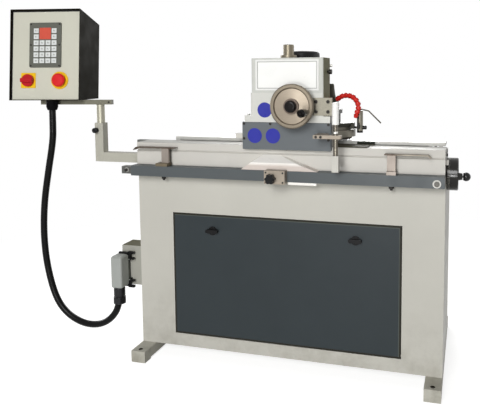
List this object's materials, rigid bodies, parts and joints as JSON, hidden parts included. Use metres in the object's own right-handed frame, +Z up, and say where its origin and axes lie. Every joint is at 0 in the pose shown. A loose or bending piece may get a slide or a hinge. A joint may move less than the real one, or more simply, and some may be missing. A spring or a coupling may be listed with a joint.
{
  "type": "knife grinding machine",
  "caption": "Floor-standing knife grinder: sheet cabinet with bed and tilting knife table, traversing cup-wheel head with handwheel feed, trip dogs and a swivelling control pendant.",
  "frame": {"origin": "centre of the four floor anchor holes, on the floor", "axes": "+X along the bed to the operator's right, +Y to the back, +Z up"},
  "size_m": [1.9316, 0.7818, 1.4183],
  "materials": {
    "cabinet_paint": "satin",
    "door_paint": "satin",
    "bed_paint": "satin",
    "ground_iron": "ground",
    "rail_paint": "satin",
    "bare_steel": "brushed",
    "dark_steel": "blackened",
    "apron_paint": "satin",
    "head_paint": "satin",
    "plate_face": "gloss",
    "black_plastic": "matte",
    "white_plastic": "gloss",
    "red_plastic": "gloss",
    "abrasive": "rough",
    "belt_rubber": "matte",
    "motor_paint": "satin",
    "pendant_paint": "satin",
    "panel_paint": "satin",
    "keypad_plastic": "matte",
    "key_film": "satin",
    "hood_metal": "satin",
    "conduit_plastic": "matte",
    "tank_sheet": "galvanised",
    "pump_paint": "satin"
  },
  "bodies": {
    "base": {"floor_beams": "cabinet_paint", "cabinet_shell": "cabinet_paint", "cabinet_front": "cabinet_paint", "bed_frame": "bed_paint", "front_way": "ground_iron", "rear_beam": "ground_iron", "swivel_chain": "dark_steel", "dog_rail": "rail_paint", "coolant_chute": "bed_paint", "centre_bracket": "bare_steel", "coolant_tank": "tank_sheet", "coolant_pump": "pump_paint", "junction_box": "cabinet_paint", "connector_hood": "hood_metal", "pendant_arm": "bare_steel", "control_conduit": "conduit_plastic"},
    "carriage": {"saddle": "bed_paint", "apron": "apron_paint", "limit_switch": "dark_steel", "head_housing": "head_paint", "head_cover": "head_paint", "plain_plates": "plate_face", "cover_fittings": "dark_steel", "lever_bracket": "bare_steel"},
    "head": {"head_slide": "dark_steel", "spindle_housing": "dark_steel", "wheel_guard": "dark_steel", "drive_belt": "belt_rubber", "drive_motor": "motor_paint", "nozzle_tube": "dark_steel", "feeler_wire": "dark_steel"},
    "wheel": {"spindle": "bare_steel", "wheel_chuck": "bare_steel", "grinding_segments": "abrasive"},
    "motor_rotor": {"motor_pulley": "bare_steel"},
    "hose": {"coolant_hose": "red_plastic"},
    "feed_wheel": {"feed_handwheel": "bare_steel"},
    "feed_grip": {"feed_handle": "black_plastic"},
    "screw": {"feed_screw": "dark_steel"},
    "lever": {"lever_rod": "bare_steel", "lever_grip": "white_plastic"},
    "left_dog": {"dog_left": "bare_steel"},
    "right_dog": {"dog_right": "bare_steel"},
    "table": {"knife_table": "ground_iron"},
    "table_wheel": {"table_handwheel": "dark_steel"},
    "table_grip": {"table_handle": "black_plastic"},
    "door": {"cabinet_door": "door_paint"},
    "left_latch": {"latch_left": "black_plastic"},
    "right_latch": {"latch_right": "black_plastic"},
    "bracket_screw": {"bracket_knob": "black_plastic"},
    "mast_screw": {"mast_clamp": "dark_steel"},
    "plug_lever_top": {"upper_lever": "black_plastic"},
    "plug_lever_bottom": {"lower_lever": "black_plastic"},
    "pendant": {"pendant_post": "bare_steel", "pendant_box": "pendant_paint", "pendant_panel": "panel_paint", "keypad_bezel": "keypad_plastic", "keypad_keys": "key_film"},
    "main_switch": {"switch_knob": "red_plastic"},
    "stop": {"stop_button": "red_plastic"}
  },
  "joints": [
    {"name": "carriage_traverse", "type": "slide", "parent": "base", "child": "carriage", "axis": [1, 0, 0], "range_m": [-0.44, 0.385]},
    {"name": "feed_turn", "type": "hinge", "parent": "carriage", "child": "feed_wheel", "pos_m": [0.067, -0.339, 1.0226], "axis": [0, 1, 0], "range_deg": [0, 2160]},
    {"name": "feed_screw_turn", "type": "hinge", "parent": "carriage", "child": "screw", "pos_m": [0.027, -0.235, 1.1], "axis": [0, 0, 1], "range_deg": [0, 2160]},
    {"name": "head_feed", "type": "slide", "parent": "carriage", "child": "head", "axis": [0, 0, 1], "range_m": [0, 0.03]},
    {"name": "feed_handle_spin", "type": "hinge", "parent": "feed_wheel", "child": "feed_grip", "pos_m": [0.124, -0.38, 1.0026], "axis": [0, 1, 0], "continuous": true},
    {"name": "wheel_spin", "type": "hinge", "parent": "head", "child": "wheel", "pos_m": [0.152, -0.11, 0.95], "axis": [0, 0, 1], "continuous": true},
    {"name": "motor_spin", "type": "hinge", "parent": "head", "child": "motor_rotor", "pos_m": [0.032, -0.06, 1], "axis": [0, 0, 1], "continuous": true},
    {"name": "hose_swing", "type": "hinge", "parent": "head", "child": "hose", "pos_m": [0.18336, -0.119, 1.03659], "axis": [0, 0, 1], "range_deg": [-25, 0]},
    {"name": "lever_swing", "type": "hinge", "parent": "carriage", "child": "lever", "pos_m": [0.229, -0.35, 0.9175], "axis": [0, 1, 0], "range_deg": [-6, 6]},
    {"name": "left_dog_slide", "type": "slide", "parent": "base", "child": "left_dog", "axis": [1, 0, 0], "range_m": [-0.08, 0.28]},
    {"name": "right_dog_slide", "type": "slide", "parent": "base", "child": "right_dog", "axis": [1, 0, 0], "range_m": [-0.22, 0.12]},
    {"name": "table_tilt", "type": "hinge", "parent": "base", "child": "table", "pos_m": [0, -0.125, 0.85], "axis": [-1, 0, 0], "range_deg": [0, 30]},
    {"name": "table_wheel_turn", "type": "hinge", "parent": "base", "child": "table_wheel", "pos_m": [0.62, -0.125, 0.7685], "axis": [-1, 0, 0], "range_deg": [0, 60]},
    {"name": "table_handle_spin", "type": "hinge", "parent": "table_wheel", "child": "table_grip", "pos_m": [0.663, -0.167, 0.7665], "axis": [1, 0, 0], "continuous": true},
    {"name": "door_swing", "type": "hinge", "parent": "base", "child": "door", "pos_m": [0, -0.239, 0.108], "axis": [1, 0, 0], "range_deg": [0, 88]},
    {"name": "left_latch_turn", "type": "hinge", "parent": "door", "child": "left_latch", "pos_m": [-0.2825, -0.248, 0.528], "axis": [0, -1, 0], "range_deg": [0, 90]},
    {"name": "right_latch_turn", "type": "hinge", "parent": "door", "child": "right_latch", "pos_m": [0.2825, -0.248, 0.528], "axis": [0, -1, 0], "range_deg": [0, 90]},
    {"name": "bracket_knob_turn", "type": "hinge", "parent": "base", "child": "bracket_screw", "pos_m": [-0.01, -0.34, 0.761], "axis": [0, 1, 0], "range_deg": [0, 180]},
    {"name": "mast_clamp_turn", "type": "hinge", "parent": "base", "child": "mast_screw", "pos_m": [-0.853, -0.15, 0.904], "axis": [0, 1, 0], "range_deg": [0, 180]},
    {"name": "top_lever_swing", "type": "hinge", "parent": "base", "child": "plug_lever_top", "pos_m": [-0.7097, -0.156, 0.354], "axis": [0, 1, 0], "range_deg": [0, 70]},
    {"name": "bottom_lever_swing", "type": "hinge", "parent": "base", "child": "plug_lever_bottom", "pos_m": [-0.7097, -0.156, 0.266], "axis": [0, -1, 0], "range_deg": [0, 70]},
    {"name": "pendant_swivel", "type": "hinge", "parent": "base", "child": "pendant", "pos_m": [-0.845, -0.13, 0.9], "axis": [0, 0, 1], "range_deg": [-40, 40], "deforming": ["control_conduit"]},
    {"name": "main_switch_turn", "type": "hinge", "parent": "pendant", "child": "main_switch", "pos_m": [-1.12697, -0.22544, 1.11679], "axis": [-0.1897, 0.9757, -0.1097], "range_deg": [0, 90]},
    {"name": "stop_push", "type": "slide", "parent": "pendant", "child": "stop", "axis": [-0.1897, 0.9757, -0.1097], "range_m": [0, 0.005], "stiffness_N_per_m": 800}
  ],
  "couplings": [
    {"joint": "feed_screw_turn", "follows": "feed_turn", "ratio": 1},
    {"joint": "head_feed", "follows": "feed_turn", "m_per_rad": 0.00079577},
    {"joint": "motor_spin", "follows": "wheel_spin", "ratio": 0.88889},
    {"joint": "table_wheel_turn", "follows": "table_tilt", "ratio": 2}
  ]
}
